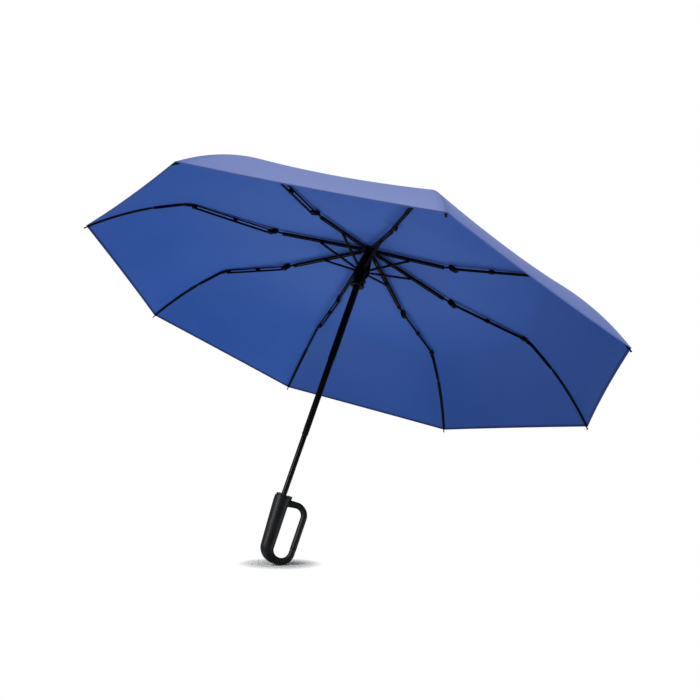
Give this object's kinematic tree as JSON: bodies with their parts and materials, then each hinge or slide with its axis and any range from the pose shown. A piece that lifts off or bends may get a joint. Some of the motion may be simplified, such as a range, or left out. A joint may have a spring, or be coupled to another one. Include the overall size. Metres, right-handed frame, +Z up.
{
  "type": "windproof folding umbrella",
  "caption": "Open folding umbrella with a blue cloth canopy, black jointed ribs, telescopic shaft and a loop handle with a sprung gate.",
  "frame": {"origin": "on the shaft's axis, halfway down the grip, where a hand holds it", "axes": "+Z up the shaft to the crown, +X to the loop of the handle"},
  "size_m": [0.9794, 0.9794, 0.601],
  "materials": {
    "canopy_cloth": "woven pongee, plain royal blue, slightly glossy and a little see-through",
    "rib_metal": "black-coated pressed steel and aluminium",
    "rib_fibre": "black fibreglass",
    "tube_metal": "black-coated drawn tube, satin",
    "frame_plastic": "black nylon",
    "handle_plastic": "dark charcoal, soft satin",
    "button_plastic": "black",
    "pin_steel": "bare steel pin"
  },
  "bodies": {
    "handle": {"handle_body": "handle_plastic", "handle_collar": "handle_plastic", "lower_tube": "tube_metal", "gate_pin": "pin_steel"},
    "middle_shaft": {"middle_tube": "tube_metal"},
    "upper_shaft": {"upper_tube": "tube_metal", "crown": "frame_plastic", "crown_cap": "frame_plastic", "canopy": "canopy_cloth"},
    "runner": {"runner": "frame_plastic"},
    "button": {"button": "button_plastic"},
    "gate": {"gate": "handle_plastic"},
    "inner_rib_1": {"inner_rib_1": "rib_metal"},
    "stretcher_1": {"stretcher_1": "rib_metal"},
    "mid_rib_1": {"mid_rib_1": "rib_metal", "link_rod_1": "rib_metal"},
    "outer_rib_1": {"outer_rib_1": "rib_fibre", "rib_tip_1": "frame_plastic"},
    "inner_rib_2": {"inner_rib_2": "rib_metal"},
    "stretcher_2": {"stretcher_2": "rib_metal"},
    "mid_rib_2": {"mid_rib_2": "rib_metal", "link_rod_2": "rib_metal"},
    "outer_rib_2": {"outer_rib_2": "rib_fibre", "rib_tip_2": "frame_plastic"},
    "inner_rib_3": {"inner_rib_3": "rib_metal"},
    "stretcher_3": {"stretcher_3": "rib_metal"},
    "mid_rib_3": {"mid_rib_3": "rib_metal", "link_rod_3": "rib_metal"},
    "outer_rib_3": {"outer_rib_3": "rib_fibre", "rib_tip_3": "frame_plastic"},
    "inner_rib_4": {"inner_rib_4": "rib_metal"},
    "stretcher_4": {"stretcher_4": "rib_metal"},
    "mid_rib_4": {"mid_rib_4": "rib_metal", "link_rod_4": "rib_metal"},
    "outer_rib_4": {"outer_rib_4": "rib_fibre", "rib_tip_4": "frame_plastic"},
    "inner_rib_5": {"inner_rib_5": "rib_metal"},
    "stretcher_5": {"stretcher_5": "rib_metal"},
    "mid_rib_5": {"mid_rib_5": "rib_metal", "link_rod_5": "rib_metal"},
    "outer_rib_5": {"outer_rib_5": "rib_fibre", "rib_tip_5": "frame_plastic"},
    "inner_rib_6": {"inner_rib_6": "rib_metal"},
    "stretcher_6": {"stretcher_6": "rib_metal"},
    "mid_rib_6": {"mid_rib_6": "rib_metal", "link_rod_6": "rib_metal"},
    "outer_rib_6": {"outer_rib_6": "rib_fibre", "rib_tip_6": "frame_plastic"},
    "inner_rib_7": {"inner_rib_7": "rib_metal"},
    "stretcher_7": {"stretcher_7": "rib_metal"},
    "mid_rib_7": {"mid_rib_7": "rib_metal", "link_rod_7": "rib_metal"},
    "outer_rib_7": {"outer_rib_7": "rib_fibre", "rib_tip_7": "frame_plastic"},
    "inner_rib_8": {"inner_rib_8": "rib_metal"},
    "stretcher_8": {"stretcher_8": "rib_metal"},
    "mid_rib_8": {"mid_rib_8": "rib_metal", "link_rod_8": "rib_metal"},
    "outer_rib_8": {"outer_rib_8": "rib_fibre", "rib_tip_8": "frame_plastic"}
  },
  "joints": [
    {"name": "middle_slide", "type": "slide", "parent": "handle", "child": "middle_shaft", "axis": [0, 0, -1], "range_m": [0, 0.11]},
    {"name": "upper_slide", "type": "slide", "parent": "middle_shaft", "child": "upper_shaft", "axis": [0, 0, -1], "range_m": [0, 0.142]},
    {"name": "canopy_fold", "type": "hinge", "parent": "upper_shaft", "child": "inner_rib_1", "pos_m": [-0.0105, 0, 0.534], "axis": [0, -1, 0], "range_deg": [0, 74.5], "deforming": ["canopy"]},
    {"name": "stretcher_pivot_1", "type": "hinge", "parent": "inner_rib_1", "child": "stretcher_1", "pos_m": [-0.08777, 0, 0.51329], "axis": [0, -1, 0], "range_deg": [-149.05, 0]},
    {"name": "knuckle_1", "type": "hinge", "parent": "inner_rib_1", "child": "mid_rib_1", "pos_m": [-0.17259, 0, 0.50144], "axis": [0, -1, 0], "range_deg": [-169.25, 0]},
    {"name": "elbow_1", "type": "hinge", "parent": "mid_rib_1", "child": "outer_rib_1", "pos_m": [-0.33383, 0, 0.48508], "axis": [0, -1, 0], "range_deg": [0, 147.19]},
    {"name": "rib_fold_2", "type": "hinge", "parent": "upper_shaft", "child": "inner_rib_2", "pos_m": [-0.00743, -0.00743, 0.534], "axis": [0.7071, -0.7071, 0], "range_deg": [0, 74.5]},
    {"name": "stretcher_pivot_2", "type": "hinge", "parent": "inner_rib_2", "child": "stretcher_2", "pos_m": [-0.06207, -0.06207, 0.51329], "axis": [0.7071, -0.7071, 0], "range_deg": [-149.05, 0]},
    {"name": "knuckle_2", "type": "hinge", "parent": "inner_rib_2", "child": "mid_rib_2", "pos_m": [-0.12204, -0.12204, 0.50144], "axis": [0.7071, -0.7071, 0], "range_deg": [-169.25, 0]},
    {"name": "elbow_2", "type": "hinge", "parent": "mid_rib_2", "child": "outer_rib_2", "pos_m": [-0.23605, -0.23605, 0.48508], "axis": [0.7071, -0.7071, 0], "range_deg": [0, 147.19]},
    {"name": "rib_fold_3", "type": "hinge", "parent": "upper_shaft", "child": "inner_rib_3", "pos_m": [0, -0.0105, 0.534], "axis": [1, 0, 0], "range_deg": [0, 74.5]},
    {"name": "stretcher_pivot_3", "type": "hinge", "parent": "inner_rib_3", "child": "stretcher_3", "pos_m": [0, -0.08777, 0.51329], "axis": [1, 0, 0], "range_deg": [-149.05, 0]},
    {"name": "knuckle_3", "type": "hinge", "parent": "inner_rib_3", "child": "mid_rib_3", "pos_m": [0, -0.17259, 0.50144], "axis": [1, 0, 0], "range_deg": [-169.25, 0]},
    {"name": "elbow_3", "type": "hinge", "parent": "mid_rib_3", "child": "outer_rib_3", "pos_m": [0, -0.33383, 0.48508], "axis": [1, 0, 0], "range_deg": [0, 147.19]},
    {"name": "rib_fold_4", "type": "hinge", "parent": "upper_shaft", "child": "inner_rib_4", "pos_m": [0.00743, -0.00743, 0.534], "axis": [0.7071, 0.7071, 0], "range_deg": [0, 74.5]},
    {"name": "stretcher_pivot_4", "type": "hinge", "parent": "inner_rib_4", "child": "stretcher_4", "pos_m": [0.06207, -0.06207, 0.51329], "axis": [0.7071, 0.7071, 0], "range_deg": [-149.05, 0]},
    {"name": "knuckle_4", "type": "hinge", "parent": "inner_rib_4", "child": "mid_rib_4", "pos_m": [0.12204, -0.12204, 0.50144], "axis": [0.7071, 0.7071, 0], "range_deg": [-169.25, 0]},
    {"name": "elbow_4", "type": "hinge", "parent": "mid_rib_4", "child": "outer_rib_4", "pos_m": [0.23605, -0.23605, 0.48508], "axis": [0.7071, 0.7071, 0], "range_deg": [0, 147.19]},
    {"name": "rib_fold_5", "type": "hinge", "parent": "upper_shaft", "child": "inner_rib_5", "pos_m": [0.0105, 0, 0.534], "axis": [0, 1, 0], "range_deg": [0, 74.5]},
    {"name": "stretcher_pivot_5", "type": "hinge", "parent": "inner_rib_5", "child": "stretcher_5", "pos_m": [0.08777, 0, 0.51329], "axis": [0, 1, 0], "range_deg": [-149.05, 0]},
    {"name": "knuckle_5", "type": "hinge", "parent": "inner_rib_5", "child": "mid_rib_5", "pos_m": [0.17259, 0, 0.50144], "axis": [0, 1, 0], "range_deg": [-169.25, 0]},
    {"name": "elbow_5", "type": "hinge", "parent": "mid_rib_5", "child": "outer_rib_5", "pos_m": [0.33383, 0, 0.48508], "axis": [0, 1, 0], "range_deg": [0, 147.19]},
    {"name": "rib_fold_6", "type": "hinge", "parent": "upper_shaft", "child": "inner_rib_6", "pos_m": [0.00743, 0.00743, 0.534], "axis": [-0.7071, 0.7071, 0], "range_deg": [0, 74.5]},
    {"name": "stretcher_pivot_6", "type": "hinge", "parent": "inner_rib_6", "child": "stretcher_6", "pos_m": [0.06207, 0.06207, 0.51329], "axis": [-0.7071, 0.7071, 0], "range_deg": [-149.05, 0]},
    {"name": "knuckle_6", "type": "hinge", "parent": "inner_rib_6", "child": "mid_rib_6", "pos_m": [0.12204, 0.12204, 0.50144], "axis": [-0.7071, 0.7071, 0], "range_deg": [-169.25, 0]},
    {"name": "elbow_6", "type": "hinge", "parent": "mid_rib_6", "child": "outer_rib_6", "pos_m": [0.23605, 0.23605, 0.48508], "axis": [-0.7071, 0.7071, 0], "range_deg": [0, 147.19]},
    {"name": "rib_fold_7", "type": "hinge", "parent": "upper_shaft", "child": "inner_rib_7", "pos_m": [0, 0.0105, 0.534], "axis": [-1, 0, 0], "range_deg": [0, 74.5]},
    {"name": "stretcher_pivot_7", "type": "hinge", "parent": "inner_rib_7", "child": "stretcher_7", "pos_m": [0, 0.08777, 0.51329], "axis": [-1, 0, 0], "range_deg": [-149.05, 0]},
    {"name": "knuckle_7", "type": "hinge", "parent": "inner_rib_7", "child": "mid_rib_7", "pos_m": [0, 0.17259, 0.50144], "axis": [-1, 0, 0], "range_deg": [-169.25, 0]},
    {"name": "elbow_7", "type": "hinge", "parent": "mid_rib_7", "child": "outer_rib_7", "pos_m": [0, 0.33383, 0.48508], "axis": [-1, 0, 0], "range_deg": [0, 147.19]},
    {"name": "rib_fold_8", "type": "hinge", "parent": "upper_shaft", "child": "inner_rib_8", "pos_m": [-0.00743, 0.00743, 0.534], "axis": [-0.7071, -0.7071, 0], "range_deg": [0, 74.5]},
    {"name": "stretcher_pivot_8", "type": "hinge", "parent": "inner_rib_8", "child": "stretcher_8", "pos_m": [-0.06207, 0.06207, 0.51329], "axis": [-0.7071, -0.7071, 0], "range_deg": [-149.05, 0]},
    {"name": "knuckle_8", "type": "hinge", "parent": "inner_rib_8", "child": "mid_rib_8", "pos_m": [-0.12204, 0.12204, 0.50144], "axis": [-0.7071, -0.7071, 0], "range_deg": [-169.25, 0]},
    {"name": "elbow_8", "type": "hinge", "parent": "mid_rib_8", "child": "outer_rib_8", "pos_m": [-0.23605, 0.23605, 0.48508], "axis": [-0.7071, -0.7071, 0], "range_deg": [0, 147.19]},
    {"name": "runner_pivot", "type": "hinge", "parent": "stretcher_1", "child": "runner", "pos_m": [-0.0105, 0, 0.49259], "axis": [0, -1, 0], "range_deg": [0, 74.55]},
    {"name": "button_press", "type": "slide", "parent": "handle", "child": "button", "axis": [-1, 0, 0], "range_m": [0, 0.0019], "stiffness_N_per_m": 900},
    {"name": "gate_swing", "type": "hinge", "parent": "handle", "child": "gate", "pos_m": [0.0454, 0, -0.028], "axis": [0, -1, 0], "range_deg": [0, 25], "stiffness_Nm_per_rad": 0.06}
  ],
  "couplings": [
    {"joint": "stretcher_pivot_1", "follows": "canopy_fold", "ratio": -2},
    {"joint": "knuckle_1", "follows": "canopy_fold", "ratio": -2.2711},
    {"joint": "elbow_1", "follows": "canopy_fold", "ratio": 1.9751},
    {"joint": "rib_fold_2", "follows": "canopy_fold", "ratio": 1},
    {"joint": "stretcher_pivot_2", "follows": "canopy_fold", "ratio": -2},
    {"joint": "knuckle_2", "follows": "canopy_fold", "ratio": -2.2711},
    {"joint": "elbow_2", "follows": "canopy_fold", "ratio": 1.9751},
    {"joint": "rib_fold_3", "follows": "canopy_fold", "ratio": 1},
    {"joint": "stretcher_pivot_3", "follows": "canopy_fold", "ratio": -2},
    {"joint": "knuckle_3", "follows": "canopy_fold", "ratio": -2.2711},
    {"joint": "elbow_3", "follows": "canopy_fold", "ratio": 1.9751},
    {"joint": "rib_fold_4", "follows": "canopy_fold", "ratio": 1},
    {"joint": "stretcher_pivot_4", "follows": "canopy_fold", "ratio": -2},
    {"joint": "knuckle_4", "follows": "canopy_fold", "ratio": -2.2711},
    {"joint": "elbow_4", "follows": "canopy_fold", "ratio": 1.9751},
    {"joint": "rib_fold_5", "follows": "canopy_fold", "ratio": 1},
    {"joint": "stretcher_pivot_5", "follows": "canopy_fold", "ratio": -2},
    {"joint": "knuckle_5", "follows": "canopy_fold", "ratio": -2.2711},
    {"joint": "elbow_5", "follows": "canopy_fold", "ratio": 1.9751},
    {"joint": "rib_fold_6", "follows": "canopy_fold", "ratio": 1},
    {"joint": "stretcher_pivot_6", "follows": "canopy_fold", "ratio": -2},
    {"joint": "knuckle_6", "follows": "canopy_fold", "ratio": -2.2711},
    {"joint": "elbow_6", "follows": "canopy_fold", "ratio": 1.9751},
    {"joint": "rib_fold_7", "follows": "canopy_fold", "ratio": 1},
    {"joint": "stretcher_pivot_7", "follows": "canopy_fold", "ratio": -2},
    {"joint": "knuckle_7", "follows": "canopy_fold", "ratio": -2.2711},
    {"joint": "elbow_7", "follows": "canopy_fold", "ratio": 1.9751},
    {"joint": "rib_fold_8", "follows": "canopy_fold", "ratio": 1},
    {"joint": "stretcher_pivot_8", "follows": "canopy_fold", "ratio": -2},
    {"joint": "knuckle_8", "follows": "canopy_fold", "ratio": -2.2711},
    {"joint": "elbow_8", "follows": "canopy_fold", "ratio": 1.9751},
    {"joint": "runner_pivot", "follows": "canopy_fold", "ratio": 1}
  ]
}
